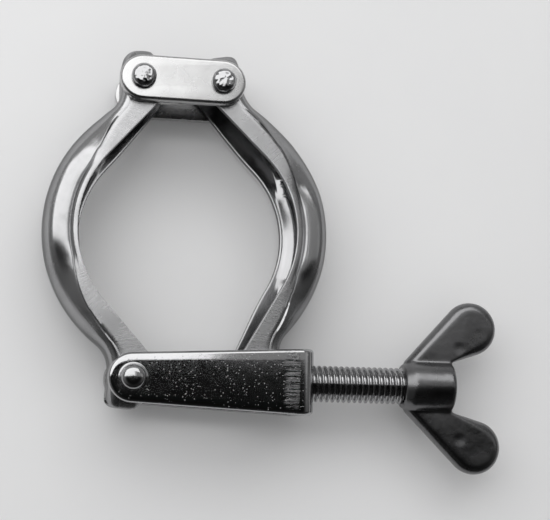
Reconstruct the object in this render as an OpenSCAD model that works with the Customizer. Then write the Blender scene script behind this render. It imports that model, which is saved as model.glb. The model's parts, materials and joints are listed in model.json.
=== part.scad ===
// Hinged two-jaw coupling clamp with a swing stirrup and a wing screw.
// The origin is the centre of the clamped ring. +Z runs along the ring's axis,
// +X along the wing screw and +Y towards the hinge. Units are millimetres.

/* [Ring] */
// Radius of the seat that the channel lips form around the flanges
seat_r = 23.5; // [22.5:0.1:24.5]
// Outer radius of the pressed channel
outer_r = 31; // [30:0.1:31.5]
// Width of the channel along the ring's axis
jaw_w = 14; // [12:0.5:16]
// Thickness of the channel's sheet
sheet = 1.7; // [1:0.1:2]
// Outer corner radius of the channel round the ring
crown_r = 5; // [3:0.1:5.5]
// Outer corner radius of the channel along the ears
ear_corner_r = 2.4; // [2:0.1:3]

/* [Link and stirrup] */
// Thickness of the link plates and of the stirrup's strip
plate_t = 2.5; // [1.5:0.1:3]
// Free play between a channel and the plate beside it
side_play = 0.1; // [0.05:0.05:0.3]
// Radius of the link plates' round ends
link_end_r = 4.95; // [4:0.05:5.5]
// Radius of the stirrup's round end
stirrup_end_r = 5.25; // [4.5:0.05:6]
// Half height of the stirrup at its end web
web_half_h = 7.15; // [6:0.05:8]
// Outer face of the stirrup's end web along X
web_x = 27.6; // [27.2:0.1:29]
// Outer bend radius of the stirrup
bend_r = 3.6; // [3.1:0.1:4]

/* [Pins] */
// Radius of the rivet shanks
shank_r = 2; // [1.5:0.1:2.2]
// Outer radius of the spacer bushes on the rivets
bush_r = 2.8; // [2.7:0.1:3]
// Height of the link rivets' heads
rivet_head_h = 2.4; // [1:0.1:3]
// Radius of the link rivets' heads
rivet_head_r = 2.65; // [2.6:0.05:3.5]
// Radius of the stirrup rivet's dome
dome_r = 2.75; // [2.6:0.05:3.5]
// Radial play of a turning fit
fit_play = 0.05; // [0.05:0.01:0.15]

/* [Wing screw] */
// Radius of the screw thread
screw_r = 4; // [3.9:0.05:4.1]
// Radius of the tip that the screw carries
tip_r = 3.2; // [2.8:0.1:3.4]
// Radius of the wing head's boss
boss_r = 6.25; // [5.8:0.05:7]
// Radius of the round ends of the wings
wing_end_r = 5.95; // [5.5:0.05:6.5]
// Thickness of the wings
wing_t = 5; // [4:0.1:6]

/* [Hidden] */
$fn = 96;
// Pivots: left and right link pins, stirrup pin, and the clamped ear's middle
left_pin = [-11, 32];
right_pin = [6.15, 32];
stirrup_pin = [-11, -31.8];
axis_y = stirrup_pin[1];
far = 80;
half_w = jaw_w / 2;
plate_in = half_w + side_play;
plate_out = plate_in + plate_t;
bore_r = shank_r + fit_play;
// The wing head's boss, lobes and neck along the screw
boss_x = [48.9, 61.6];
lobe = [65.2, 13.15];
stud_x = [24.1, 57];
tip_x = 22.6;
bush_flange_x = 23.2;
bush_body_r = 5;
bush_flange_r = 6.4;
thread_bore_r = screw_r + fit_play;
pivot_r = 1.5;
pivot_x = 27.5;

// An ear as [pin or middle point, outer reach, inner reach, lean, length past the point,
// end radius, angle at which the seat ends, angle at which the web meets the ear]; angles
// run from -X, and both jaws are drawn with their arc towards -X
left_top_ear = [left_pin, 4.3, 5, 0.8, 2, 4.8, 41, 61];
left_low_ear = [stirrup_pin, 4.9, 5, 4, 1.4, 5.1, 42, 55];
right_top_ear = [[-right_pin[0], right_pin[1]], 4.8, 5.2, -11, 1.3, 5.2, 46, 66];
right_low_ear = [[-15.3, axis_y], 4.8, 4.8, -3.6, 0.6, 5, 30, 50];

// A rectangle from x0 to x1, h high and centred on the X axis, with its low-x corners round
module round_back(x0, x1, h, r) {
    translate([x0 + r, -h / 2]) square([x1 - x0 - r, h]);
    translate([x0, -h / 2 + r]) square([x1 - x0, h - 2 * r]);
    for (side = [-1, 1]) translate([x0 + r, side * (h / 2 - r)]) circle(r);
}

// The ring part of a channel, shrunk by depth, which makes its body and then its hollow
module ring_part(top, low, depth, reach) {
    rotate(180 - top[7]) rotate_extrude(angle = top[7] + low[7])
        mirror([1, 0]) round_back(-outer_r + depth, -reach, jaw_w - 2 * depth,
            crown_r - depth);
}

// An ear's outline seen along the ring's axis, with its pin at the origin
module ear_outline(ear) {
    end_r = ear[5];
    translate([-ear[1], -13]) square([ear[1] + ear[2], 13 + ear[4]]);
    intersection() {
        translate([(ear[2] - ear[1]) / 2, ear[4]]) circle(end_r);
        translate([-ear[1], 0]) square([ear[1] + ear[2], far]);
    }
}

// An ear above the ring: hollow = 0 for its body, the sheet thickness for its hollow
module ear_part(ear, hollow) {
    translate([ear[0][0], abs(ear[0][1])]) rotate(ear[3])
        intersection() {
            rotate([90, 0, 0]) linear_extrude(far, center = true)
                round_back(-ear[1] + hollow, hollow > 0 ? far : ear[2],
                    jaw_w - 2 * hollow, ear_corner_r - hollow);
            linear_extrude(far, center = true)
                if (hollow > 0) translate([-far, -11]) square([2 * far, far]);
                else ear_outline(ear);
        }
}

// The space beside a straight run-out, which leaves the seat at this angle from -X
module run_out(angle) {
    rotate(-angle) translate([-seat_r, 0, -far / 2]) cube([far, far, far]);
}

// One pressed channel with its arc towards -X, its upper and lower ears and their holes
module jaw(top, low) {
    difference() {
        union() {
            ring_part(top, low, 0, seat_r - 1);
            ear_part(top, 0);
            mirror([0, 1, 0]) ear_part(low, 0);
        }
        ring_part(top, low, sheet, 10);
        ear_part(top, sheet);
        mirror([0, 1, 0]) ear_part(low, sheet);
        cylinder(r = seat_r, h = far, center = true, $fn = 192);
        run_out(top[6]);
        mirror([0, 1, 0]) run_out(low[6]);
        translate(top[0]) cylinder(r = bush_r + fit_play, h = far, center = true);
    }
}

module left_jaw() {
    color("silver") difference() {
        jaw(left_top_ear, left_low_ear);
        translate(stirrup_pin) cylinder(r = bush_r + fit_play, h = far, center = true);
    }
}

module right_jaw() {
    color("silver") mirror([1, 0, 0]) jaw(right_top_ear, right_low_ear);
}

// A link plate: a bar with round ends and a hole for each rivet
module link_plate() {
    linear_extrude(plate_t) difference() {
        union() {
            for (pin = [left_pin, right_pin]) translate(pin) circle(link_end_r);
            translate([left_pin[0], left_pin[1] - link_end_r])
                square([right_pin[0] - left_pin[0], 2 * link_end_r]);
        }
        for (pin = [left_pin, right_pin]) translate(pin) circle(bore_r);
    }
}

module front_link() {
    color("gainsboro") translate([0, 0, plate_in]) link_plate();
}

module rear_link() {
    color("gainsboro") translate([0, 0, -plate_out]) link_plate();
}

// A rivet through both plates: a tall cylindrical head in front, a low formed head behind
module link_rivet(pin) {
    edge = 0.7;
    low_head_h = 1.2;
    translate(pin) {
        translate([0, 0, -plate_out]) cylinder(r = shank_r, h = 2 * plate_out);
        translate([0, 0, plate_out]) {
            cylinder(r = rivet_head_r, h = rivet_head_h - edge);
            translate([0, 0, rivet_head_h - edge])
                cylinder(r1 = rivet_head_r, r2 = rivet_head_r - edge, h = edge);
        }
        translate([0, 0, -plate_out - low_head_h])
            cylinder(r1 = rivet_head_r - edge, r2 = rivet_head_r + edge / 2, h = low_head_h);
    }
}

module left_link_rivet() {
    color("gray") link_rivet(left_pin);
}

module right_link_rivet() {
    color("gray") link_rivet(right_pin);
}

// A spacer tube between the plates, on which the channel's ear turns
module hinge_bush(pin) {
    translate(pin) difference() {
        cylinder(r = bush_r, h = 2 * plate_in, center = true);
        cylinder(r = bore_r, h = far, center = true);
    }
}

module left_hinge_bush() {
    color("darkgray") hinge_bush(left_pin);
}

module right_hinge_bush() {
    color("darkgray") hinge_bush(right_pin);
}

module stirrup_bush() {
    color("darkgray") hinge_bush(stirrup_pin);
}

// The stirrup's bar seen along the ring's axis: it widens from the pin to the web
module stirrup_outline() {
    reach = web_x - stirrup_pin[0];
    start_half_h = stirrup_end_r - 0.02;
    polygon([[0, start_half_h], [reach, web_half_h], [reach, -web_half_h],
        [0, -start_half_h]]);
}

// One strip bent to a U: a front and a rear plate joined by the end web
module stirrup() {
    color("dimgray") difference() {
        union() {
            intersection() {
                translate([0, axis_y]) rotate([90, 0, 0])
                    linear_extrude(far, center = true) difference() {
                        mirror([1, 0]) round_back(-web_x, far, 2 * plate_out, bend_r);
                        mirror([1, 0]) round_back(-web_x + plate_t, far + 1,
                            2 * plate_in, bend_r - plate_t);
                    }
                translate(stirrup_pin) linear_extrude(far, center = true)
                    stirrup_outline();
            }
            for (side = [0, 1]) mirror([0, 0, side])
                translate([stirrup_pin[0], stirrup_pin[1], plate_in])
                    cylinder(r = stirrup_end_r, h = plate_t);
        }
        translate(stirrup_pin) cylinder(r = bore_r, h = far, center = true);
        translate([web_x, axis_y]) rotate([0, 90, 0])
            cylinder(r = bush_body_r, h = 4 * plate_t, center = true);
    }
}

// A rivet with a domed head on a thin collar in front and a low head behind
module stirrup_rivet() {
    collar_h = 0.5;
    collar_r = dome_r + 0.35;
    dome_h = 1.6;
    ball_r = (dome_r * dome_r + dome_h * dome_h) / (2 * dome_h);
    color("gray") translate(stirrup_pin) {
        translate([0, 0, -plate_out]) cylinder(r = shank_r, h = 2 * plate_out);
        translate([0, 0, -plate_out - 1]) cylinder(r1 = dome_r - 0.6, r2 = dome_r, h = 1);
        translate([0, 0, plate_out]) cylinder(r = collar_r, h = collar_h);
        translate([0, 0, plate_out + collar_h]) intersection() {
            translate([0, 0, dome_h - ball_r]) sphere(ball_r);
            cylinder(r = far, h = far);
        }
    }
}

// A threaded bush pressed into the end web, with its flange on the inner side
module threaded_bush() {
    color("darkgray") translate([0, axis_y]) rotate([0, 90, 0]) difference() {
        union() {
            translate([0, 0, bush_flange_x])
                cylinder(r = bush_flange_r, h = web_x - plate_t - bush_flange_x);
            translate([0, 0, bush_flange_x])
                cylinder(r = bush_body_r, h = web_x - bush_flange_x);
        }
        cylinder(r = thread_bore_r, h = far);
    }
}

// The screw's threaded rod, with a blind hole for the tip's pivot
module screw_stud() {
    chamfer = 0.8;
    color("gray") translate([0, axis_y]) rotate([0, 90, 0]) difference() {
        union() {
            translate([0, 0, stud_x[0]])
                cylinder(r1 = screw_r - chamfer, r2 = screw_r, h = chamfer);
            translate([0, 0, stud_x[0] + chamfer])
                cylinder(r = screw_r, h = stud_x[1] - stud_x[0] - chamfer);
        }
        cylinder(r = pivot_r + fit_play, h = pivot_x + 2 * fit_play);
    }
}

// One wing seen flat: a round lobe joined to the boss by two edges that touch it
module wing_outline() {
    front = [boss_x[0] + 0.7, boss_r];
    back = [boss_x[1], boss_r];
    to_front = lobe - front;
    to_back = lobe - back;
    edge_r = wing_end_r - 0.02;
    front_slope = atan2(to_front[1], to_front[0]) + asin(wing_end_r / norm(to_front));
    back_slope = atan2(to_back[1], to_back[0]) - asin(wing_end_r / norm(to_back));
    translate(lobe) circle(wing_end_r);
    polygon([[front[0], 0], front, lobe + edge_r * [-sin(front_slope), cos(front_slope)],
        lobe + edge_r * [sin(back_slope), -cos(back_slope)], back, [back[0], 0]]);
}

// Two round-ended wings that meet in a cylindrical boss
module wing_head() {
    cone_h = 2;
    color("dimgray") translate([0, axis_y]) difference() {
        union() {
            translate([boss_x[0], 0]) rotate([0, 90, 0])
                cylinder(r1 = boss_r - 1.4, r2 = boss_r, h = cone_h);
            translate([boss_x[0] + cone_h, 0]) rotate([0, 90, 0])
                cylinder(r = boss_r, h = boss_x[1] - boss_x[0] - cone_h);
            for (side = [0, 1]) mirror([0, side, 0])
                linear_extrude(wing_t, center = true) wing_outline();
        }
        rotate([0, 90, 0]) cylinder(r = screw_r, h = stud_x[1]);
    }
}

// The tip that bears on the ear and stays still while the screw turns behind it
module pressure_tip() {
    color("gray") translate([0, axis_y]) rotate([0, 90, 0]) {
        translate([0, 0, tip_x]) cylinder(r = tip_r, h = stud_x[0] - tip_x - fit_play);
        translate([0, 0, tip_x]) cylinder(r = pivot_r, h = pivot_x - tip_x);
    }
}

left_jaw();
right_jaw();
front_link();
rear_link();
left_link_rivet();
right_link_rivet();
left_hinge_bush();
right_hinge_bush();
stirrup();
stirrup_rivet();
stirrup_bush();
threaded_bush();
screw_stud();
wing_head();
pressure_tip();
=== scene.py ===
import json
import math

import bmesh
import bpy
from mathutils import Matrix, Vector, noise


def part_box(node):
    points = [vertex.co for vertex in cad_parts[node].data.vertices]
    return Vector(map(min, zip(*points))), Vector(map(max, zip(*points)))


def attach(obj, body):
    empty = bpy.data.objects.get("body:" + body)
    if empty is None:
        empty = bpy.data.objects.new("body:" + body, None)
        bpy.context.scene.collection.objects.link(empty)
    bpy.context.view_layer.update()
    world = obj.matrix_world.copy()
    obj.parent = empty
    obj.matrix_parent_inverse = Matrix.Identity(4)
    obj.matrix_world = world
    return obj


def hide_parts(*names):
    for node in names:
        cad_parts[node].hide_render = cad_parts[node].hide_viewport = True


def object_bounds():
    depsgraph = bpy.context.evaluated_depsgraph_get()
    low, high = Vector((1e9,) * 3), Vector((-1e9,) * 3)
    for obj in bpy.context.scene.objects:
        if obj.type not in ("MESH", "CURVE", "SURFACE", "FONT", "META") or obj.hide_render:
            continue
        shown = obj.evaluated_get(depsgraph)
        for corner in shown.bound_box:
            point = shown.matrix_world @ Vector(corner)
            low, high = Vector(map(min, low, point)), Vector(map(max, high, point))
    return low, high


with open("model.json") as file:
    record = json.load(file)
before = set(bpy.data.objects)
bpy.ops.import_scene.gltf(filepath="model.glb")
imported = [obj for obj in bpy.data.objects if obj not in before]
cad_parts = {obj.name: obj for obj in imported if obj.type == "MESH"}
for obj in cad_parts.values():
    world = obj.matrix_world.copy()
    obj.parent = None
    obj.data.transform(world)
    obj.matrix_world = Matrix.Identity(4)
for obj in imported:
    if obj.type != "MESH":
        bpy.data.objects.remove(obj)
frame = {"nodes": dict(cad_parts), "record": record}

mm = 0.001
cad_low, cad_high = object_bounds()

# ---------------------------------------------------------------- Camera
# The clamp lies flat and is seen from above, a little from the hinge pin's side.
# The ring's axis stands upright, so the camera looks down on the front link.
view_from = Vector((-31.5, -42.7, 284.1)) * mm
view_turn = (math.radians(7.24), math.radians(-10.42), math.radians(1.25))
camera_data = bpy.data.cameras.new("camera")
camera_data.lens = 86.5
camera_data.sensor_width = 36
camera_data.clip_start = 0.01
camera = bpy.data.objects.new("camera", camera_data)
camera.location = view_from
camera.rotation_euler = view_turn
bpy.context.scene.collection.objects.link(camera)
bpy.context.scene.camera = camera

# ---------------------------------------------------------------- Table top
# The clamp rests on a pale laminate table. The sheet is wide, so that no edge of it
# shows, and its faint mottling only keeps the large plain area from looking empty.


def linear(hex_colour):
    """An sRGB hex colour as the linear RGBA that a shader takes."""
    channels = [int(hex_colour[i:i + 2], 16) / 255 for i in (0, 2, 4)]
    flat = [c / 12.92 if c <= 0.04045 else ((c + 0.055) / 1.055) ** 2.4 for c in channels]
    return (*flat, 1)


def add(tree, kind, settings=None, inputs=None):
    """Adds a node, sets its properties, then sets or links its inputs."""
    made = tree.nodes.new(kind)
    for name, value in (settings or {}).items():
        setattr(made, name, value)
    for name, value in (inputs or {}).items():
        if isinstance(value, bpy.types.NodeSocket):
            tree.links.new(value, made.inputs[name])
        else:
            made.inputs[name].default_value = value
    return made


def maths(tree, operation, *values):
    """Adds a maths node on one to three values."""
    return add(tree, "ShaderNodeMath", {"operation": operation}, dict(enumerate(values)))


def remap(tree, value, from_min, from_max, to_min, to_max, curve="LINEAR"):
    """Adds a node that carries a value from one range to another, clamped."""
    return add(tree, "ShaderNodeMapRange", {"interpolation_type": curve}, {
        "Value": value, "From Min": from_min, "From Max": from_max,
        "To Min": to_min, "To Max": to_max})


def new_material(name):
    """An empty material with its node tree."""
    made = bpy.data.materials.new(name)
    made.use_nodes = True
    made.node_tree.nodes.clear()
    return made


def finish_shader(tree, shader):
    """Joins a shader to the material's output."""
    add(tree, "ShaderNodeOutputMaterial", inputs={"Surface": shader.outputs[0]})


laminate = new_material("matt_laminate")
tree = laminate.node_tree
place = add(tree, "ShaderNodeTexCoord")
mottle = add(tree, "ShaderNodeTexNoise", inputs={
    "Vector": place.outputs["Object"], "Scale": 22, "Detail": 4, "Roughness": 0.6})
shade = add(tree, "ShaderNodeMix", {"data_type": "RGBA"}, {
    "Factor": mottle.outputs["Fac"], 6: linear("e2e2e3"), 7: linear("e8e8e8")})
finish_shader(tree, add(tree, "ShaderNodeBsdfPrincipled", inputs={
    "Base Color": shade.outputs[2], "Roughness": 0.62, "Specular IOR Level": 0.3}))

table_mesh = bpy.data.meshes.new("table_top")
reach = 1.6
rest_z = cad_low.z
table_mesh.from_pydata(
    [(-reach, -reach, rest_z), (reach, -reach, rest_z), (reach, reach, rest_z),
     (-reach, reach, rest_z)], [], [(0, 1, 2, 3)])
table_mesh.materials.append(laminate)
table_top = bpy.data.objects.new("table_top", table_mesh)
bpy.context.scene.collection.objects.link(table_top)

# ---------------------------------------------------------------- Lights
# A large bright ceiling panel covers the far left quarter of the room and ends just
# beyond the clamp, a weak one hangs on the right, and the near side is left dark. Their
# edges give polished steel its bright bands beside nearly black ones. A wide fill panel
# that no polished surface mirrors keeps the shadows on the table soft.
panel_height = 0.6


def ceiling_panel(name, low_x, high_x, low_y, high_y, radiance):
    """A light panel facing straight down that fills a rectangle of the ceiling."""
    wide, deep = high_x - low_x, high_y - low_y
    data = bpy.data.lights.new(name, "AREA")
    data.shape = "RECTANGLE"
    data.size, data.size_y = wide, deep
    data.energy = radiance * math.pi * wide * deep
    made = bpy.data.objects.new(name, data)
    made.location = ((low_x + high_x) / 2, (low_y + high_y) / 2, panel_height)
    bpy.context.scene.collection.objects.link(made)
    return made


ceiling_panel("bright_panel_near", -0.9, 0.085, 0.022, 0.28, 2.2)
ceiling_panel("bright_panel_far", -0.9, 0.45, 0.28, 0.9, 2.2)
ceiling_panel("weak_panel", 0.09, 1.1, 0.008, 0.275, 0.4)
fill = ceiling_panel("fill_panel", -1.3, 1.1, -1.0, 1.2, 0.5)
fill.visible_glossy = False
room = bpy.data.worlds.new("room")
room.use_nodes = True
tree = room.node_tree
tree.nodes.clear()
way = add(tree, "ShaderNodeTexCoord")
height = add(tree, "ShaderNodeSeparateXYZ", inputs={0: way.outputs["Generated"]})
far_left = add(tree, "ShaderNodeVectorMath", {"operation": "DOT_PRODUCT"}, {
    0: way.outputs["Generated"], 1: (-0.2, 0.95, 0)})
wall_tone = remap(tree, far_left.outputs["Value"], -0.7, 0.8, 0.03, 0.45)
wall_part = remap(tree, height.outputs["Z"], 0.45, 0.85, wall_tone.outputs[0], 0.006,
                  "SMOOTHSTEP")
walls = add(tree, "ShaderNodeBackground", inputs={
    "Color": (1, 1, 1, 1), "Strength": wall_part.outputs[0]})
add(tree, "ShaderNodeOutputWorld", inputs={"Surface": walls.outputs[0]})
bpy.context.scene.world = room
bpy.context.scene.view_settings.view_transform = "Standard"

# ---------------------------------------------------------------- Jaws
# Each jaw is a channel pressed from stainless steel sheet: a flat lip that seats on the
# flange, a shallow step, and a round back that turns into a square channel at the ears.
# The near faces were ground flat across, and the back keeps the press tool's long lines.
sheet = 1.7
seat_r = frame["record"]["mounts"][0]["dims"]["r_mm"]
back_r = -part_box("left_jaw")[0].x / mm
half_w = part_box("left_jaw")[1].z / mm
lip_land = 0.85
step_end = 1.95
step_depth = 0.5
groove_depth = 0.22
ear_corner = 2.4


def centre_of(node):
    """The middle of a CAD node's box in millimetres, seen along the ring's axis."""
    low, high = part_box(node)
    return Vector(((low.x + high.x) / 2, (low.y + high.y) / 2)) / mm


left_pin = centre_of("left_link_rivet")
right_pin = centre_of("right_link_rivet")
stirrup_pin = centre_of("stirrup_rivet")


class Ear:
    """One ear of a jaw, drawn upwards with the jaw's arc towards -X."""

    def __init__(self, pin, out, inner, lean, beyond, end_r, seat_angle, blend_r,
                 corner, ground_from):
        self.pin = Vector(pin)
        self.corner, self.ground_from = corner, ground_from
        self.out, self.inner = out, inner
        self.beyond, self.end_r = beyond, end_r
        self.seat_angle = math.radians(seat_angle)
        self.blend_r = blend_r
        lean = math.radians(lean)
        self.across = Vector((math.cos(lean), math.sin(lean)))
        self.up = Vector((-math.sin(lean), math.cos(lean)))

    def at(self, across, up):
        return self.pin + self.across * across + self.up * up

    def end(self, across):
        """Height of the ear's end above the pin: round, but squarer on the outside."""
        off = (across - (self.inner - self.out) / 2) / self.end_r
        power = self.corner if off < 0 else 2
        return self.beyond + self.end_r * max(1 - abs(off) ** power, 0) ** (1 / power)


def polar(radius, angle):
    """A point at an angle from -X towards +Y."""
    return Vector((-radius * math.cos(angle), radius * math.sin(angle)))


def along(points, share):
    """The point at a share of a chain's length."""
    steps = [(b - a).length for a, b in zip(points, points[1:])]
    left = share * sum(steps)
    for a, b, step in zip(points, points[1:], steps):
        if left <= step:
            return a.lerp(b, left / step if step else 0)
        left -= step
    return points[-1].copy()


def arc(centre, radius, start, stop, count):
    """Points round a centre between two ordinary angles."""
    turns = [start + (stop - start) * i / count for i in range(count + 1)]
    return [centre + Vector((radius * math.cos(a), radius * math.sin(a))) for a in turns]


def half_stations(ear):
    """Cuts across half a jaw, from its middle to the ear's end.

    Each cut is a function that gives the point at a share of the way from lip to back,
    with how far these have grown from 0 to 1: the ground face, the loss of the step,
    the square ear section and the roll of the ear's end."""
    # The concave blend between the round back and the ear's outer face
    start = ear.at(-ear.out - ear.blend_r, 0)
    ahead = start.dot(ear.up)
    rise = -ahead + math.sqrt(ahead ** 2 - start.length_squared
                              + (back_r + ear.blend_r) ** 2)
    hollow = start + ear.up * rise
    meets = math.atan2(hollow.y, -hollow.x)
    # The lip leaves the seat along a tangent and meets the ear's inner edge
    leave = polar(seat_r, ear.seat_angle)
    run = Vector((math.sin(ear.seat_angle), math.cos(ear.seat_angle)))
    edge = ear.at(ear.inner, 0)
    reach_run = (edge - leave).dot(ear.across) / run.dot(ear.across)
    corner = leave + run * reach_run
    corner_up = (corner - ear.pin).dot(ear.up)
    start_up = max(corner_up, rise) + 0.6
    # Chains of points for the back and the lip between the arc and the ear
    turn_a = math.atan2(-hollow.y, -hollow.x)
    turn_b = math.atan2(ear.across.y, ear.across.x)
    back_angle = min(ear.seat_angle, meets - math.radians(4))
    back = [polar(back_r, back_angle + (meets - back_angle) * i / 12)
            for i in range(12)]
    back += arc(hollow, ear.blend_r, turn_a, turn_b, 14)
    back.append(ear.at(-ear.out, start_up))
    soft = min(1.6, reach_run * 0.3)
    lip = [leave, corner - run * soft]
    lip += [(corner - run * soft).lerp(corner, t).lerp(
        corner.lerp(corner + ear.up * soft, t), t) for t in (0.25, 0.5, 0.75)]
    lip += [corner + ear.up * soft, ear.at(ear.inner, start_up)]
    if corner_up + soft > start_up:
        lip[-2] = ear.at(ear.inner, start_up - 0.05)
    cuts = []
    ring_cuts, run_cuts, ear_cuts = 26, 30, 16
    for i in range(ring_cuts):
        a = ear.seat_angle * i / ring_cuts
        lip_at, back_at = polar(seat_r, a), polar(back_r, back_angle * i / ring_cuts)
        ground = 0.5 * max(0, (math.degrees(a) - ear.ground_from) / 19)
        fade = max(0, min(1, (math.degrees(a) - ear.ground_from + 10) / 24))
        cuts.append((lambda f, p=lip_at, q=back_at: p.lerp(q, f), ground,
                     fade * fade * (3 - 2 * fade), 0, 0))
    last_fade, first = cuts[-1][2], cuts[-1][1]
    for i in range(run_cuts):
        t = i / run_cuts
        lip_at, back_at = along(lip, t), along(back, t)
        soon = min(1, t / 0.85)
        ground = first + (1 - first) * soon * (3 - soon * soon) / 2
        fade = last_fade + (1 - last_fade) * min(1, t / 0.4)
        square = t * t * (3 - 2 * t)
        cuts.append((lambda f, p=lip_at, q=back_at: p.lerp(q, f), ground, fade,
                     square, 0))
    for i in range(ear_cuts + 1):
        def ear_cut(f, share=i / ear_cuts):
            across = ear.inner + (-ear.out - ear.inner) * f
            return ear.at(across, start_up + share * (ear.end(across) - start_up))
        cuts.append((ear_cut, 1, 1, 1, max(0, i / ear_cuts - 0.4) / 0.6))
    return cuts


def channel_section(width, ground, fade, square, roll):
    """Half of the channel's outside from lip to the middle of its back, as
    (distance from lip, height, ground or not). The shares are those of half_stations."""
    ground_to = step_end + (width - ear_corner - step_end) * ground
    dip = step_depth * (1 - fade)
    land = lip_land + (ground_to * 0.5 - lip_land) * min(1, ground * 2)
    shiny = min(1, ground * 4)
    points = [(0, half_w, shiny), (0.3, half_w, shiny), (land - 0.1, half_w, shiny),
              (land + 0.1, half_w - 0.1 * dip, shiny)]
    groove = groove_depth * (1 - square)
    crease = ground_to - 0.5
    for t in (0.3, 0.6, 1):
        points.append((land + (crease - land) * t, half_w - dip * t, shiny))
    points.append((ground_to - 0.32, half_w - dip - groove * 0.8, 0.5 * shiny))
    points.append((ground_to - 0.18, half_w - dip - groove, 0))
    # A fine groove parts the round shoulder from the flat. The shoulder starts level
    # beside the step and steep beside the ground face
    low_z = half_w - dip * 0.7
    tilt = -0.05 + 0.8 * fade
    far = (width - ground_to) * 0.5
    bends = ((ground_to, low_z),
             (ground_to + far * math.cos(tilt), low_z - far * math.sin(tilt)),
             (width, low_z * (1 - 0.38 * fade)), (width, 0))
    steps = 17
    for i in range(steps + 1):
        t = i / steps
        shares = ((1 - t) ** 3, 3 * t * (1 - t) ** 2, 3 * t * t * (1 - t), t ** 3)
        round_d = sum(a * b[0] for a, b in zip(shares, bends))
        round_z = sum(a * b[1] for a, b in zip(shares, bends))
        if i <= 11:
            bend = math.pi / 2 * i / 11
            square_d = width - ear_corner + ear_corner * math.sin(bend)
            square_z = half_w - ear_corner * (1 - math.cos(bend))
        else:
            square_d = width
            square_z = (half_w - ear_corner) * (steps - i) / (steps - 11)
        points.append((round_d + (square_d - round_d) * square,
                       round_z + (square_z - round_z) * square,
                       0 if i else 0.5 * shiny))
    return [(d, z * (1 - 0.26 * roll * roll), g) for d, z, g in points]


def jaw_sheet(name, top, low, side, rear_lip):
    """The outside of one jaw as a grid of points, not yet given its thickness.

    The rear lip reaches further in than the front one, by the two lengths in rear_lip:
    above the middle and below it. side is -1 to mirror the jaw."""
    upper = [(*cut, 1) for cut in reversed(half_stations(top))]
    lower = [(*cut, -1) for cut in half_stations(low)[1:]]
    verts, ground, uvs = [], [], []
    travelled, before = 0.0, None
    for row, (cut, ground_share, fade, square, roll, up) in enumerate(upper + lower):
        lip_at, back_at = cut(0), cut(1)
        width = (back_at - lip_at).length
        half = channel_section(width, ground_share, fade, square, roll)
        down = max(0, min(1, (row / len(upper + lower) - 0.3) / 0.4))
        down = down * down * (3 - 2 * down)
        rear = (rear_lip[0] + (rear_lip[1] - rear_lip[0]) * down) * (1 - square)
        whole = half + [(d - rear * max(0, 1 - d / 3), -z, g)
                        for d, z, g in reversed(half[:-1])]
        mid = (lip_at + back_at) / 2
        mid = Vector((mid.x, mid.y * up))
        if before is not None:
            travelled += (mid - before).length
        before = mid
        across, last = 0.0, None
        for d, z, g in whole:
            flat = cut(min(d / width, 1))
            point = Vector((flat.x * side, flat.y * up, z))
            if last is not None:
                across += (point - last).length
            last = point
            verts.append(point * mm)
            ground.append(g)
            uvs.append((travelled / 10, across / 10))
    columns = len(whole)
    faces = []
    for row in range(len(upper + lower) - 1):
        for column in range(columns - 1):
            a = row * columns + column
            faces.append((a, a + 1, a + columns + 1, a + columns))
    mesh = bpy.data.meshes.new(name)
    mesh.from_pydata(verts, [], faces)
    mesh.attributes.new("ground", "FLOAT", "POINT").data.foreach_set("value", ground)
    layer = mesh.uv_layers.new(name="along_jaw")
    for loop in mesh.loops:
        layer.data[loop.index].uv = uvs[loop.vertex_index]
    return mesh


def outward(mesh):
    """Turns every face of a closed mesh outwards."""
    work = bmesh.new()
    work.from_mesh(mesh)
    bmesh.ops.recalc_face_normals(work, faces=work.faces)
    work.to_mesh(mesh)
    work.free()


def settle(made, edge_angle):
    """Bakes an object's modifiers into a plain mesh, smooth but for its sharp edges."""
    scene_now = bpy.context.evaluated_depsgraph_get()
    mesh = bpy.data.meshes.new_from_object(made.evaluated_get(scene_now))
    made.modifiers.clear()
    old = made.data
    made.data = mesh
    mesh.name = old.name
    bpy.data.meshes.remove(old)
    outward(mesh)
    mesh.polygons.foreach_set("use_smooth", [True] * len(mesh.polygons))
    mesh.set_sharp_from_angle(angle=math.radians(edge_angle))
    return made


def place_piece(name, mesh, material):
    """Links a mesh as an object at the origin with its one material."""
    made = bpy.data.objects.new(name, mesh)
    mesh.materials.clear()
    mesh.materials.append(material)
    bpy.context.scene.collection.objects.link(made)
    return made


def drill(made, holes, radius, depth=40, turn=None):
    """Cuts round holes through a piece, along the ring's axis unless turned."""
    turn = turn or Matrix.Identity(4)
    for at in holes:
        place = Matrix.Translation((at[0] * mm, at[1] * mm, 0))
        tool_mesh = bpy.data.meshes.new("drill")
        work = bmesh.new()
        bmesh.ops.create_cone(work, cap_ends=True, segments=48, radius1=radius * mm,
                              radius2=radius * mm, depth=depth * mm, matrix=place @ turn)
        work.to_mesh(tool_mesh)
        work.free()
        tool = bpy.data.objects.new("drill", tool_mesh)
        bpy.context.scene.collection.objects.link(tool)
        cut = made.modifiers.new("drill", "BOOLEAN")
        cut.operation, cut.solver, cut.object = "DIFFERENCE", "EXACT", tool
        cut.use_self, cut.use_hole_tolerant = True, True
        settle(made, 40)
        bpy.data.objects.remove(tool)


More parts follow.
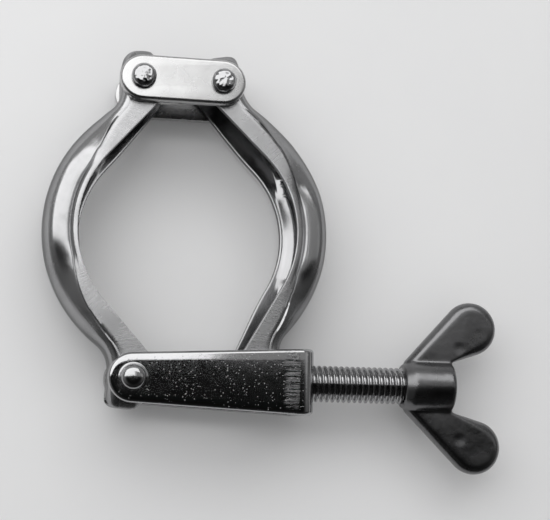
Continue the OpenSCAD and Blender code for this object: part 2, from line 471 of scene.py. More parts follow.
# Polished stainless sheet. The ground faces have fine grooves across the strip, and the
# back has long drawing lines. "ground" is 1 on the ground faces and 0 elsewhere.
jaw_steel = new_material("polished_pressed_stainless")
tree = jaw_steel.node_tree
strip = add(tree, "ShaderNodeUVMap", {"uv_map": "along_jaw"})
place = add(tree, "ShaderNodeTexCoord")
is_ground = add(tree, "ShaderNodeAttribute", {"attribute_name": "ground"})
grind_map = add(tree, "ShaderNodeMapping", inputs={
    "Vector": strip.outputs["UV"], "Scale": (75, 1.6, 1), "Rotation": (0, 0, 0.12)})
grind = add(tree, "ShaderNodeTexNoise", inputs={
    "Vector": grind_map.outputs[0], "Scale": 1, "Detail": 5, "Roughness": 0.7})
draw_map = add(tree, "ShaderNodeMapping", inputs={
    "Vector": strip.outputs["UV"], "Scale": (0.35, 16, 1)})
drawn = add(tree, "ShaderNodeTexNoise", inputs={
    "Vector": draw_map.outputs[0], "Scale": 1, "Detail": 3, "Roughness": 0.55})
wear = add(tree, "ShaderNodeTexNoise", inputs={
    "Vector": place.outputs["Object"], "Scale": 160, "Detail": 5, "Roughness": 0.65})
waves = add(tree, "ShaderNodeTexNoise", inputs={
    "Vector": place.outputs["Object"], "Scale": 95, "Detail": 2})
grind_part = maths(tree, "MULTIPLY", grind.outputs["Fac"], is_ground.outputs["Fac"])
plain_part = maths(tree, "SUBTRACT", 1.0, is_ground.outputs["Fac"])
draw_part = maths(tree, "MULTIPLY", drawn.outputs["Fac"], plain_part.outputs[0])
rough_ground = remap(tree, grind_part.outputs[0], 0, 1, 0.21, 0.34)
rough_wear = remap(tree, wear.outputs["Fac"], 0.5, 0.75, 0, 0.12)
rough = maths(tree, "ADD", rough_ground.outputs[0], rough_wear.outputs[0])
bump_waves = add(tree, "ShaderNodeBump", inputs={
    "Height": waves.outputs["Fac"], "Strength": 0.35, "Distance": 0.00025})
bump_drawn = add(tree, "ShaderNodeBump", inputs={
    "Height": draw_part.outputs[0], "Strength": 0.4, "Distance": 0.00006,
    "Normal": bump_waves.outputs[0]})
bump_grind = add(tree, "ShaderNodeBump", inputs={
    "Height": grind_part.outputs[0], "Strength": 0.5, "Distance": 0.00005,
    "Normal": bump_drawn.outputs[0]})
tint = add(tree, "ShaderNodeMix", {"data_type": "RGBA"}, {
    "Factor": wear.outputs["Fac"], 6: linear("aeaeaf"), 7: linear("969697")})
finish_shader(tree, add(tree, "ShaderNodeBsdfPrincipled", inputs={
    "Base Color": tint.outputs[2], "Metallic": 1, "Roughness": rough.outputs[0],
    "Specular Tint": linear("b0b0b0"), "Normal": bump_grind.outputs[0]}))

# The channel's inside is not ground or buffed: smooth rolled sheet, darker.
inner_steel = new_material("rolled_sheet_inside")
tree = inner_steel.node_tree
place = add(tree, "ShaderNodeTexCoord")
film = add(tree, "ShaderNodeTexNoise", inputs={
    "Vector": place.outputs["Object"], "Scale": 120, "Detail": 4})
rough = remap(tree, film.outputs["Fac"], 0.3, 0.7, 0.1, 0.24)
finish_shader(tree, add(tree, "ShaderNodeBsdfPrincipled", inputs={
    "Base Color": linear("9c9c9d"), "Metallic": 1, "Roughness": rough.outputs[0]}))

left_ears = (
    Ear(left_pin, out=4.3, inner=5, lean=0.8, beyond=2, end_r=4.8, seat_angle=41,
        blend_r=5.5, corner=2.8, ground_from=33),
    Ear((stirrup_pin.x, -stirrup_pin.y), out=4.9, inner=5, lean=4, beyond=1.4,
        end_r=5.1, seat_angle=42, blend_r=6.5, corner=4.5, ground_from=16))
right_ears = (
    Ear((-right_pin.x, right_pin.y), out=4.8, inner=5.2, lean=-11, beyond=1.3,
        end_r=5.2, seat_angle=46, blend_r=7, corner=5, ground_from=24),
    Ear((-15.3, -stirrup_pin.y), out=4.8, inner=4.8, lean=-3.6, beyond=0.6, end_r=5,
        seat_angle=30, blend_r=6, corner=2, ground_from=20))
edge_round = 0.22
bush_bore_r = 2.85
for name, body, ears, side, rear_lip, bores in (
        ("left_jaw", "fixed_jaw", left_ears, 1, (0.9, 0), (left_pin, stirrup_pin)),
        ("right_jaw", "free_jaw", right_ears, -1, (1.5, 1.5), (right_pin,))):
    jaw = place_piece(name + "_channel", jaw_sheet(name, *ears, side, rear_lip),
                      jaw_steel)
    outer = bmesh.new()
    outer.from_mesh(jaw.data)
    bmesh.ops.recalc_face_normals(outer, faces=outer.faces)
    top_face = max(outer.faces, key=lambda f: f.calc_center_median().z)
    if top_face.normal.z < 0:
        bmesh.ops.reverse_faces(outer, faces=outer.faces)
    outer.to_mesh(jaw.data)
    outer.free()
    jaw.data.materials.append(inner_steel)
    wall = jaw.modifiers.new("sheet", "SOLIDIFY")
    wall.material_offset = 1
    wall.thickness, wall.offset, wall.use_even_offset = sheet * mm, -1, True
    edge = jaw.modifiers.new("edge", "BEVEL")
    edge.width, edge.segments = edge_round * mm, 3
    edge.limit_method, edge.angle_limit = "ANGLE", math.radians(60)
    settle(jaw, 50)
    drill(jaw, bores, bush_bore_r)
    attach(jaw, body)
    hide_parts(name)

# ---------------------------------------------------------------- Link plates
# Two flat bars with round ends, blanked from stainless bar and tumbled, so that their
# edges are round. They carry the two hinge rivets.
plate_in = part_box("front_link")[0].z / mm
plate_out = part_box("front_link")[1].z / mm
link_end_r = (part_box("front_link")[1].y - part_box("front_link")[0].y) / mm / 2
rivet_bore_r = 2.05


def bar_ring(inset, z):
    """The outline of a round-ended bar over both link pins, drawn in by inset."""
    radius = link_end_r - inset
    right = arc(right_pin, radius, -math.pi / 2, math.pi / 2, 40)
    left = arc(left_pin, radius, math.pi / 2, math.pi * 1.5, 40)
    return [Vector((p.x, p.y, z)) * mm for p in right + left]


def ringed_solid(name, rings):
    """A closed mesh from rings of equal count, with a flat face at each end."""
    count = len(rings[0])
    verts = [v for ring in rings for v in ring]
    faces = [tuple(range(count)), tuple(range(len(verts) - count, len(verts)))]
    for row in range(len(rings) - 1):
        for i in range(count):
            j = (i + 1) % count
            a, b = row * count, (row + 1) * count
            faces.append((a + i, a + j, b + j, b + i))
    mesh = bpy.data.meshes.new(name)
    mesh.from_pydata(verts, [], faces)
    outward(mesh)
    return mesh


# Bright tumbled stainless plate with a soft grain along the bar and small dings.
plate_steel = new_material("tumbled_stainless_plate")
tree = plate_steel.node_tree
place = add(tree, "ShaderNodeTexCoord")
grain_map = add(tree, "ShaderNodeMapping", inputs={
    "Vector": place.outputs["Object"], "Scale": (500, 2600, 500)})
grain = add(tree, "ShaderNodeTexNoise", inputs={
    "Vector": grain_map.outputs[0], "Scale": 1, "Detail": 4, "Roughness": 0.6})
cloud = add(tree, "ShaderNodeTexNoise", inputs={
    "Vector": place.outputs["Object"], "Scale": 140, "Detail": 4})
rough = remap(tree, cloud.outputs["Fac"], 0.3, 0.7, 0.2, 0.32)
bump_cloud = add(tree, "ShaderNodeBump", inputs={
    "Height": cloud.outputs["Fac"], "Strength": 0.25, "Distance": 0.0002})
bump_grain = add(tree, "ShaderNodeBump", inputs={
    "Height": grain.outputs["Fac"], "Strength": 0.25, "Distance": 0.00003,
    "Normal": bump_cloud.outputs[0]})
finish_shader(tree, add(tree, "ShaderNodeBsdfPrincipled", inputs={
    "Base Color": linear("b8b8b8"), "Metallic": 1, "Roughness": rough.outputs[0],
    "Normal": bump_grain.outputs[0]}))

for name, facing in (("front_link", 1), ("rear_link", -1)):
    round_edge = 0.8
    small_edge = 0.3
    rings = [bar_ring(small_edge, facing * plate_in),
             bar_ring(small_edge * 0.3, facing * (plate_in + small_edge * 0.3)),
             bar_ring(0, facing * (plate_in + small_edge))]
    for i in range(9):
        turn = math.pi / 2 * i / 8
        rings.append(bar_ring(round_edge * (1 - math.cos(turn)),
                              facing * (plate_out - round_edge * (1 - math.sin(turn)))))
    plate = place_piece(name + "_plate", ringed_solid(name, rings), plate_steel)
    drill(plate, (left_pin, right_pin), rivet_bore_r)
    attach(plate, "link")
    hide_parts(name)

# ---------------------------------------------------------------- Rivets
# Stainless rivets turned from bar. Each link rivet has a tall head in front, peened on
# top, and a low formed head behind; the stirrup's has a polished dome on a thin collar.


def turned_tree():
    """Geometry nodes that turn upright chains of points into round bars.

    Each chain's points carry their radius; the profile circle follows it."""
    group = bpy.data.node_groups.new("turned_bar", "GeometryNodeTree")
    face = group.interface
    face.new_socket("Geometry", in_out="INPUT", socket_type="NodeSocketGeometry")
    face.new_socket("Segments", in_out="INPUT", socket_type="NodeSocketInt")
    face.new_socket("Material", in_out="INPUT", socket_type="NodeSocketMaterial")
    face.new_socket("Geometry", in_out="OUTPUT", socket_type="NodeSocketGeometry")
    given = add(group, "NodeGroupInput")
    radius = add(group, "GeometryNodeInputNamedAttribute",
                 {"data_type": "FLOAT"}, {"Name": "radius"})
    chain = add(group, "GeometryNodeMeshToCurve", inputs={0: given.outputs["Geometry"]})
    circle = add(group, "GeometryNodeCurvePrimitiveCircle", {"mode": "RADIUS"}, {
        "Resolution": given.outputs["Segments"], "Radius": 1})
    turned = add(group, "GeometryNodeCurveToMesh", inputs={
        "Curve": chain.outputs[0], "Profile Curve": circle.outputs[0],
        "Scale": radius.outputs["Attribute"], "Fill Caps": True})
    real = add(group, "GeometryNodeRealizeInstances", inputs={0: turned.outputs[0]})
    coated = add(group, "GeometryNodeSetMaterial", inputs={
        "Geometry": real.outputs[0], "Material": given.outputs["Material"]})
    add(group, "NodeGroupOutput", inputs={"Geometry": coated.outputs[0]})
    return group


def set_input(modifier, name, value):
    """Sets a geometry nodes modifier's input by its shown name."""
    for item in modifier.node_group.interface.items_tree:
        if item.item_type == "SOCKET" and item.in_out == "INPUT" and item.name == name:
            modifier[item.identifier] = value


turned_bar = turned_tree()


def turn_on_lathe(name, chains, material, segments=64):
    """Round bars from chains of (x, y, z, radius) in millimetres, as one mesh."""
    verts, edges, radii = [], [], []
    for chain in chains:
        for i, (x, y, z, radius) in enumerate(chain):
            if i:
                edges.append((len(verts) - 1, len(verts)))
            verts.append(Vector((x, y, z)) * mm)
            radii.append(radius * mm)
    mesh = bpy.data.meshes.new(name)
    mesh.from_pydata(verts, edges, [])
    mesh.attributes.new("radius", "FLOAT", "POINT").data.foreach_set("value", radii)
    made = place_piece(name, mesh, material)
    lathe = made.modifiers.new("lathe", "NODES")
    lathe.node_group = turned_bar
    set_input(lathe, "Segments", segments)
    set_input(lathe, "Material", material)
    return settle(made, 35)


# Turned rivet steel: bright, smeared a little and rough where it was peened.
rivet_steel = new_material("turned_rivet_steel")
tree = rivet_steel.node_tree
place = add(tree, "ShaderNodeTexCoord")
peen = add(tree, "ShaderNodeTexNoise", inputs={
    "Vector": place.outputs["Object"], "Scale": 900, "Detail": 3, "Roughness": 0.6})
smear = add(tree, "ShaderNodeTexNoise", inputs={
    "Vector": place.outputs["Object"], "Scale": 300, "Detail": 4})
rough = remap(tree, smear.outputs["Fac"], 0.35, 0.7, 0.1, 0.26)
bump = add(tree, "ShaderNodeBump", inputs={
    "Height": peen.outputs["Fac"], "Strength": 0.3, "Distance": 0.00008})
finish_shader(tree, add(tree, "ShaderNodeBsdfPrincipled", inputs={
    "Base Color": linear("a4a4a5"), "Metallic": 1, "Roughness": rough.outputs[0],
    "Normal": bump.outputs[0]}))

head_r = 2.65
head_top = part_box("left_link_rivet")[1].z / mm
rear_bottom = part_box("left_link_rivet")[0].z / mm
shank_r = 2.0


def link_rivet_chain(pin):
    """A link rivet from its low rear head to its tall front head."""
    edge = 1.3
    rear = -plate_out
    chain = [(rear_bottom, 0.05), (rear_bottom, 1.4), (rear_bottom + 0.15, 2.1),
             (rear_bottom + 0.5, 2.6), (rear - 0.25, 2.9), (rear - 0.02, 2.95),
             (rear, 2.9), (rear, shank_r), (plate_out, shank_r),
             (plate_out, head_r - 0.1), (plate_out + 0.08, head_r)]
    side_top = head_top - edge - 0.15
    chain.append((side_top, head_r))
    for i in range(1, 14):
        turn = math.pi / 2 * i / 13
        chain.append((side_top + edge * math.sin(turn),
                      head_r - edge * (1 - math.cos(turn))))
    chain += [(head_top - 0.13 + 0.13 * i / 5, 1.25 - 0.24 * i) for i in range(1, 6)]
    return [(pin.x, pin.y, z, radius) for z, radius in chain]


link_rivets = turn_on_lathe(
    "link_rivets", [link_rivet_chain(left_pin), link_rivet_chain(right_pin)], rivet_steel)
for vertex in link_rivets.data.vertices:
    if vertex.co.z > (plate_out + 0.3) * mm:
        bump_at = noise.noise(vertex.co * 900)
        fine_at = noise.noise(vertex.co * 2400 + Vector((3, 5, 7)))
        pin = left_pin if vertex.co.x < 0 else right_pin
        away = Vector((vertex.co.x - pin.x * mm, vertex.co.y - pin.y * mm, 0))
        share = min(1, (vertex.co.z / mm - plate_out) / (head_top - plate_out))
        if away.length > 1e-6:
            vertex.co += away.normalized() * (0.05 * bump_at * share * mm)
        vertex.co.z -= (0.22 * abs(bump_at) + 0.05 * abs(fine_at)) * share * mm
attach(link_rivets, "link")
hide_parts("left_link_rivet", "right_link_rivet")

# The stirrup's rivet: a dome that was set with a hollow punch, which left the collar.
dome_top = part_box("stirrup_rivet")[1].z / mm
collar_r = (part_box("stirrup_rivet")[1].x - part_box("stirrup_rivet")[0].x) / mm / 2
dome_r = collar_r - 0.4
collar_h = 0.3
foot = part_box("stirrup_rivet")[0].z / mm
chain = [(foot, 0.05), (foot, 1.5), (foot + 0.2, 2.2), (foot + 0.6, 2.6),
         (-plate_out, 2.7), (-plate_out, shank_r), (plate_out, shank_r),
         (plate_out, collar_r - 0.06), (plate_out + 0.06, collar_r),
         (plate_out + collar_h - 0.06, collar_r - 0.03),
         (plate_out + collar_h, collar_r - 0.14), (plate_out + collar_h, dome_r)]
dome_h = dome_top - plate_out - collar_h
for i in range(1, 16):
    turn = math.pi / 2 * i / 16
    chain.append((plate_out + collar_h + dome_h * math.sin(turn) ** 0.9,
                  dome_r * math.cos(turn) ** 0.8))
chain.append((dome_top, 0.05))
dome_rivet = turn_on_lathe(
    "stirrup_dome_rivet",
    [[(stirrup_pin.x, stirrup_pin.y, z, radius) for z, radius in chain]], rivet_steel)
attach(dome_rivet, "stirrup")
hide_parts("stirrup_rivet")

# ---------------------------------------------------------------- Stirrup
# One stainless strip bent to a U: a front and a rear plate joined by the end web that
# holds the screw. The press left crimp marks inside the bend and soft edges all round.
web_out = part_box("stirrup")[1].x / mm
stirrup_end_r = stirrup_pin.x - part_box("stirrup")[0].x / mm
web_half_h = (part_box("stirrup")[1].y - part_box("stirrup")[0].y) / mm / 2
strip_t = plate_out - plate_in
bend_r = 3.2


def strip_half(x):
    """Half the strip's height at a place along the screw's axis."""
    share = (x - stirrup_pin.x) / (web_out - stirrup_pin.x)
    return stirrup_end_r + (web_half_h - stirrup_end_r) * max(0, min(1, share))


def stirrup_solid():
    """The strip as a closed solid: a flat blank with rounded edges, bent to its U.

    u runs along the blank's middle line from the front pin, n through its thickness."""
    inner_r = bend_r - strip_t / 2
    flat = web_out - bend_r - stirrup_pin.x
    corner = math.pi / 2 * inner_r
    web = 2 * (plate_out - bend_r)
    whole = 2 * (flat + corner) + web
    turn_at = Vector((web_out - bend_r, plate_out - bend_r))

    def bent(u, n):
        rear = u > whole / 2
        u = whole - u if rear else u
        if u <= flat:
            x, z = stirrup_pin.x + u, plate_out - strip_t / 2 + n
        elif u <= flat + corner:
            a = (u - flat) / inner_r
            x = turn_at.x + (inner_r + n) * math.sin(a)
            z = turn_at.y + (inner_r + n) * math.cos(a)
        else:
            x, z = web_out - strip_t / 2 + n, turn_at.y - (u - flat - corner)
        return x, -z if rear else z

    stations = []
    for i in range(17):
        a = math.pi / 2 * i / 16
        stations.append((-stirrup_end_r * math.cos(a), stirrup_end_r * math.sin(a),
                         -math.cos(a), math.sin(a)))
    steps = [flat * i / 40 for i in range(1, 41)]
    steps += [flat + corner * i / 10 for i in range(1, 11)]
    steps += [flat + corner + web * i / 8 for i in range(1, 5)]
    stations += [(u, strip_half(bent(u, 0)[0]), 0, 1) for u in steps]
    stations += [(whole - u, half, -nu, ny) for u, half, nu, ny in stations[-2::-1]]
    edge_r = 0.9
    middle = strip_t / 2 - edge_r
    rounds = []
    for i in range(13):
        a = math.pi * i / 12
        n = edge_r * math.cos(a) + (middle if i < 6 else -middle if i > 6 else 0)
        rounds.append((edge_r * (1 - math.sin(a)), n))
    rings = []
    for u, half, nu, ny in stations:
        side = [(u - nu * inset, half - ny * inset, n) for inset, n in rounds]
        back = [(side[-1][0], side[-1][1] * (1 - i / 4), side[-1][2])
                for i in range(1, 8)]
        front = [(side[0][0], side[0][1] * (i / 4 - 1), side[0][2])
                 for i in range(1, 8)]
        ring = []
        for at, y, n in side + back + [(a, -y, n) for a, y, n in side[::-1]] + front:
            x, z = bent(at, n)
            ring.append(Vector((x, stirrup_pin.y + y, z)) * mm)
        rings.append(ring)
    mesh = ringed_solid("stirrup", rings)
    work = bmesh.new()
    work.from_mesh(mesh)
    bmesh.ops.remove_doubles(work, verts=work.verts, dist=0.00001)
    bmesh.ops.dissolve_degenerate(work, dist=0.00001, edges=work.edges)
    bmesh.ops.recalc_face_normals(work, faces=work.faces)
    work.to_mesh(mesh)
    work.free()
    return mesh


# Mirror-rolled strip, dark where it faces the dim side, with specks and hair scratches.
# Near the bend the rolled skin is crimped and dull.
strip_steel = new_material("mirror_rolled_strip")
tree = strip_steel.node_tree
place = add(tree, "ShaderNodeTexCoord")
split = add(tree, "ShaderNodeSeparateXYZ", inputs={0: place.outputs["Object"]})
specks = add(tree, "ShaderNodeTexVoronoi", {"feature": "F1"}, {
    "Vector": place.outputs["Object"], "Scale": 1500, "Randomness": 1})
speck = remap(tree, specks.outputs["Distance"], 0.0, 0.16, 1, 0)
patchy = add(tree, "ShaderNodeTexNoise", inputs={
    "Vector": place.outputs["Object"], "Scale": 420, "Detail": 5, "Roughness": 0.7})
patch = remap(tree, patchy.outputs["Fac"], 0.42, 0.62, 0, 1)
speck_part = maths(tree, "MULTIPLY", speck.outputs[0], patch.outputs[0])
hair_map = add(tree, "ShaderNodeMapping", inputs={
    "Vector": place.outputs["Object"], "Scale": (500, 2600, 500),
    "Rotation": (0, 0, 0.5)})
hairs = add(tree, "ShaderNodeTexNoise", inputs={
    "Vector": hair_map.outputs[0], "Scale": 1, "Detail": 4, "Roughness": 0.75})
hair = remap(tree, hairs.outputs["Fac"], 0.7, 0.76, 0, 1)
ragged_map = add(tree, "ShaderNodeMapping", inputs={
    "Vector": place.outputs["Object"], "Scale": (90, 900, 90)})
ragged = add(tree, "ShaderNodeTexNoise", inputs={
    "Vector": ragged_map.outputs[0], "Scale": 1, "Detail": 4, "Roughness": 0.7})
ragged_x = maths(tree, "MULTIPLY_ADD", ragged.outputs["Fac"], 0.0035, split.outputs["X"])
crimp = remap(tree, ragged_x.outputs[0], 0.0225, 0.0233, 0, 1)
crimp_stop = remap(tree, split.outputs["X"], 0.0238, 0.0243, 1, 0)
crimp_part = maths(tree, "MULTIPLY", crimp.outputs[0], crimp_stop.outputs[0])
rough_crimp = remap(tree, crimp_part.outputs[0], 0, 1, 0.03, 0.08)
rough = maths(tree, "MULTIPLY_ADD", patchy.outputs["Fac"], 0.1, rough_crimp.outputs[0])
scars = maths(tree, "ADD", speck_part.outputs[0], hair.outputs[0])
bump_wave = add(tree, "ShaderNodeBump", inputs={
    "Height": patchy.outputs["Fac"], "Strength": 0.06, "Distance": 0.00012})
bump_scars = add(tree, "ShaderNodeBump", inputs={
    "Height": scars.outputs[0], "Strength": 0.8, "Distance": 0.0001,
    "Normal": bump_wave.outputs[0]})
bump_crimp = add(tree, "ShaderNodeBump", inputs={
    "Height": ragged.outputs["Fac"], "Strength": crimp_part.outputs[0],
    "Distance": 0.0001, "Normal": bump_scars.outputs[0]})
finish_shader(tree, add(tree, "ShaderNodeBsdfPrincipled", inputs={
    "Base Color": linear("a9a9aa"), "Metallic": 1, "Roughness": rough.outputs[0],
    "Normal": bump_crimp.outputs[0]}))

stirrup = place_piece("stirrup_strip", stirrup_solid(), strip_steel)
drill(stirrup, (stirrup_pin,), rivet_bore_r)
bush_seat_r = 5
drill(stirrup, ((web_out, stirrup_pin.y),), bush_seat_r, 4 * strip_t,
      Matrix.Rotation(math.pi / 2, 4, "Y"))
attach(stirrup, "stirrup")
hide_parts("stirrup")

# ---------------------------------------------------------------- Screw
# A stainless metric coarse stud of 8 mm, rolled thread, chamfered at its tip. It runs
# through the stirrup's threaded bush and is fixed in the wing head.
screw_y = stirrup_pin.y
screw_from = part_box("screw_stud")[0].x / mm
screw_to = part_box("screw_stud")[1].x / mm
crest_r = (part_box("screw_stud")[1].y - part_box("screw_stud")[0].y) / mm / 2


def thread_tree():
    """Geometry nodes for a rolled thread: a fine cylinder whose radius follows the
    thread's phase, which is its height over the pitch less its turn."""
    group = bpy.data.node_groups.new("rolled_thread", "GeometryNodeTree")
    face = group.interface
    for name, kind in (("Crest radius", "Float"), ("Depth", "Float"), ("Pitch", "Float"),
                       ("Length", "Float"), ("Chamfer", "Float"), ("Rows", "Int"),
                       ("Columns", "Int"), ("Material", "Material")):
        face.new_socket(name, in_out="INPUT", socket_type="NodeSocket" + kind)
    face.new_socket("Geometry", in_out="OUTPUT", socket_type="NodeSocketGeometry")
    given = add(group, "NodeGroupInput")
    bar = add(group, "GeometryNodeMeshCylinder", {"fill_type": "TRIANGLE_FAN"}, {
        "Vertices": given.outputs["Columns"], "Side Segments": given.outputs["Rows"],
        "Radius": given.outputs["Crest radius"], "Depth": given.outputs["Length"]})
    at = add(group, "GeometryNodeInputPosition")
    part = add(group, "ShaderNodeSeparateXYZ", inputs={0: at.outputs[0]})
    turn = maths(group, "ARCTAN2", part.outputs["Y"], part.outputs["X"])
    share = maths(group, "DIVIDE", turn.outputs[0], 2 * math.pi)
    height = maths(group, "DIVIDE", part.outputs["Z"], given.outputs["Pitch"])
    phase = maths(group, "SUBTRACT", height.outputs[0], share.outputs[0])
    cycle = maths(group, "FRACT", phase.outputs[0])
    centred = maths(group, "SUBTRACT", cycle.outputs[0], 0.5)
    flank = maths(group, "ABSOLUTE", centred.outputs[0])
    groove = remap(group, flank.outputs[0], 0.06, 0.42, 0, 1, "SMOOTHSTEP")
    cut = maths(group, "MULTIPLY", groove.outputs[0], given.outputs["Depth"])
    half = maths(group, "MULTIPLY", given.outputs["Length"], 0.5)
    from_tip = maths(group, "ADD", part.outputs["Z"], half.outputs[0])
    taper = remap(group, from_tip.outputs[0], 0, given.outputs["Chamfer"],
                  given.outputs["Chamfer"], 0)
    least = maths(group, "MAXIMUM", cut.outputs[0], taper.outputs[0])
    share_cut = maths(group, "DIVIDE", least.outputs[0], given.outputs["Crest radius"])
    keep = maths(group, "SUBTRACT", 1.0, share_cut.outputs[0])
    scaled = add(group, "ShaderNodeCombineXYZ", inputs={
        0: keep.outputs[0], 1: keep.outputs[0], 2: 1.0})
    moved = add(group, "ShaderNodeVectorMath", {"operation": "MULTIPLY"}, {
        0: at.outputs[0], 1: scaled.outputs[0]})
    shaped = add(group, "GeometryNodeSetPosition", inputs={
        "Geometry": bar.outputs["Mesh"], "Position": moved.outputs[0]})
    real = add(group, "GeometryNodeRealizeInstances", inputs={0: shaped.outputs[0]})
    coated = add(group, "GeometryNodeSetMaterial", inputs={
        "Geometry": real.outputs[0], "Material": given.outputs["Material"]})
    add(group, "NodeGroupOutput", inputs={"Geometry": coated.outputs[0]})
    return group


# Rolled stainless thread: smooth flanks that catch a sharp band of light.
screw_steel = new_material("rolled_thread_stainless")
tree = screw_steel.node_tree
place = add(tree, "ShaderNodeTexCoord")
stain = add(tree, "ShaderNodeTexNoise", inputs={
    "Vector": place.outputs["Object"], "Scale": 500, "Detail": 4})
rough = remap(tree, stain.outputs["Fac"], 0.3, 0.7, 0.1, 0.2)
bump = add(tree, "ShaderNodeBump", inputs={
    "Height": stain.outputs["Fac"], "Strength": 0.2, "Distance": 0.00005})
finish_shader(tree, add(tree, "ShaderNodeBsdfPrincipled", inputs={
    "Base Color": linear("a0a0a1"), "Metallic": 1, "Roughness": rough.outputs[0],
    "Normal": bump.outputs[0]}))

rolled = place_piece("threaded_stud", bpy.data.meshes.new("thread"), screw_steel)
roll = rolled.modifiers.new("thread", "NODES")
roll.node_group = thread_tree()
pitch = 1.25
thread_depth = 0.74
chamfer = 0.8
rows_a_turn = 16
thread_length = screw_to - screw_from
for name, value in (("Crest radius", crest_r * mm), ("Depth", thread_depth * mm),
                    ("Pitch", pitch * mm), ("Length", thread_length * mm),
                    ("Chamfer", chamfer * mm), ("Columns", 72),
                    ("Rows", int(thread_length / pitch * rows_a_turn)),
                    ("Material", screw_steel)):
    set_input(roll, name, value)
settle(rolled, 60)
lay_along_x = Matrix.Translation(Vector(((screw_from + screw_to) / 2, screw_y, 0)) * mm)
rolled.data.transform(lay_along_x @ Matrix.Rotation(math.pi / 2, 4, "Y"))
rolled.data.materials.clear()
rolled.data.materials.append(screw_steel)
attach(rolled, "wing_screw")
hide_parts("screw_stud")

# ---------------------------------------------------------------- Wing head
# A cast wing head: two round-ended wings with soft rims and a round boss between them,
# dull grey all over, with a shallow dent in each wing.
boss_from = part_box("wing_head")[0].x / mm
boss_r = 5.75
boss_to = boss_from + 11.4
wing_tip_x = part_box("wing_head")[1].x / mm
wing_tip_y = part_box("wing_head")[1].y / mm - screw_y
lobe_r = 5.95
lobes = {1: Vector((wing_tip_x - lobe_r - 0.6, wing_tip_y - lobe_r)),
         -1: Vector((wing_tip_x - lobe_r + 0.4, wing_tip_y - lobe_r))}
wing_half = 2.3


def wing_outline(up, inset):
    """A wing's outline from its root in the boss, round its lobe and back."""
    front = Vector((boss_from + 0.7 + inset, boss_r - 0.3))
    back = Vector((boss_to - inset * 0.3, boss_r - 0.3))
    radius = lobe_r - inset
    lobe = lobes[up]
    to_front, to_back = lobe - front, lobe - back
    steep = math.atan2(to_front.y, to_front.x) + math.asin(radius / to_front.length)
    shallow = math.atan2(to_back.y, to_back.x) - math.asin(radius / to_back.length)
    ring = arc(lobe, radius, shallow - math.pi / 2, steep + math.pi / 2, 36)
    touch_front, touch_back = ring[-1], ring[0]
    ring += [touch_front.lerp(front, i / 8) for i in range(1, 9)]
    ring += [Vector((front.x, 0.5)), Vector((back.x, 0.5))]
    ring += [back.lerp(touch_back, i / 8) for i in range(0, 8)]
    return [Vector((p.x, p.y * up)) for p in ring]


def wing_solid(up):
    """One wing as a closed solid with full round rims."""
    rings = []
    rim = 2.1
    for side in (-1, 1):
        part = []
        for i in range(7):
            turn = math.pi / 2 * i / 6
            inset = rim * (1 - math.sin(turn))
            z = side * (wing_half - rim * (1 - math.cos(turn)))
            part.append([Vector((p.x, p.y + screw_y, z)) * mm
                         for p in wing_outline(up, inset)])
        rings.append(part)
    return ringed_solid("wing", rings[0] + rings[1][::-1])


def join_and_blend(name, parts, voxel, rounds):
    """Melts closed parts into one casting: a fine remesh, then smoothing for fillets."""
    joined = bmesh.new()
    for part in parts:
        joined.from_mesh(part)
    mesh = bpy.data.meshes.new(name)
    joined.to_mesh(mesh)
    joined.free()
    made = bpy.data.objects.new(name, mesh)
    bpy.context.scene.collection.objects.link(made)
    melt = made.modifiers.new("melt", "REMESH")
    melt.mode, melt.voxel_size = "VOXEL", voxel * mm
    blend = made.modifiers.new("blend", "SMOOTH")
    blend.factor, blend.iterations = 0.5, rounds
    return settle(made, 60)


boss_chain = [(boss_from, 0.05), (boss_from, 4.6), (boss_from + 0.5, 4.9),
              (boss_from + 1.8, boss_r - 0.1), (boss_from + 2.4, boss_r),
              (boss_to - 0.8, boss_r), (boss_to - 0.2, boss_r - 0.3),
              (boss_to, boss_r - 0.9), (boss_to, 0.05)]
boss = turn_on_lathe("boss", [[(0, 0, x, r) for x, r in boss_chain]], screw_steel, 96)
boss_mesh = boss.data.copy()
boss_mesh.transform(Matrix.Translation((0, screw_y * mm, 0))
                    @ Matrix.Rotation(math.pi / 2, 4, "Y"))
bpy.data.objects.remove(boss)

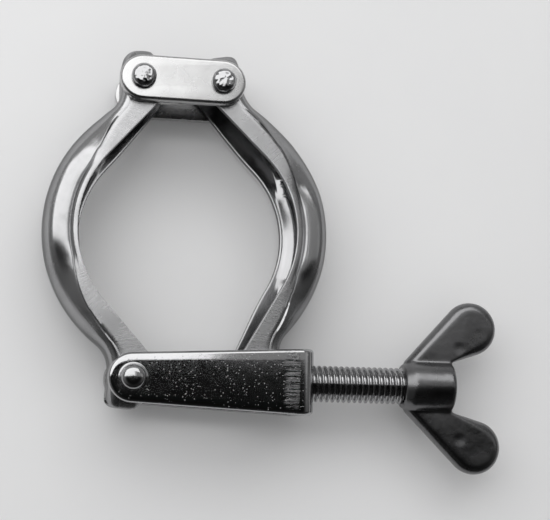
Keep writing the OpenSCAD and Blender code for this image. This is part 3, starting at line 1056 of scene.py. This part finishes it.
# Cast and barrel-polished: dull dark grey with a fine, slightly uneven skin.
wing_metal = new_material("barrel_polished_casting")
tree = wing_metal.node_tree
place = add(tree, "ShaderNodeTexCoord")
skin = add(tree, "ShaderNodeTexNoise", inputs={
    "Vector": place.outputs["Object"], "Scale": 700, "Detail": 5, "Roughness": 0.65})
cloud = add(tree, "ShaderNodeTexNoise", inputs={
    "Vector": place.outputs["Object"], "Scale": 130, "Detail": 4})
rough = remap(tree, cloud.outputs["Fac"], 0.3, 0.7, 0.22, 0.36)
bump_cloud = add(tree, "ShaderNodeBump", inputs={
    "Height": cloud.outputs["Fac"], "Strength": 0.5, "Distance": 0.0004})
bump_skin = add(tree, "ShaderNodeBump", inputs={
    "Height": skin.outputs["Fac"], "Strength": 0.35, "Distance": 0.00006,
    "Normal": bump_cloud.outputs[0]})
tint = add(tree, "ShaderNodeMix", {"data_type": "RGBA"}, {
    "Factor": cloud.outputs["Fac"], 6: linear("666667"), 7: linear("7e7e7f")})
finish_shader(tree, add(tree, "ShaderNodeBsdfPrincipled", inputs={
    "Base Color": tint.outputs[2], "Metallic": 1, "Roughness": rough.outputs[0],
    "Normal": bump_skin.outputs[0]}))

head = join_and_blend("wing_head_casting", [wing_solid(1), wing_solid(-1), boss_mesh],
                      voxel=0.25, rounds=6)
dent_r = 1.7
for dent_x, dent_y, deep in ((61.5, 8.6, 0.1), (61.8, -11.5, 0.14)):
    for vertex in head.data.vertices:
        if vertex.co.z > 0:
            off = Vector((vertex.co.x / mm - dent_x, vertex.co.y / mm - screw_y - dent_y))
            vertex.co.z -= deep * max(0, 1 - (off.length / dent_r) ** 2) ** 2 * mm
head.data.materials.clear()
head.data.materials.append(wing_metal)
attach(head, "wing_screw")
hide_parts("wing_head")

# ---------------------------------------------------------------- Hidden bushes and tip
# Spacer bushes on the rivets, the threaded bush in the web and the pressure tip are
# plain turned parts that hardly show; they keep their shapes and get the turned finish.
for node in ("left_hinge_bush", "right_hinge_bush", "stirrup_bush", "threaded_bush"):
    frame["nodes"][node].data.materials.clear()
    frame["nodes"][node].data.materials.append(rivet_steel)
frame["nodes"]["pressure_tip"].data.materials.clear()
frame["nodes"]["pressure_tip"].data.materials.append(screw_steel)
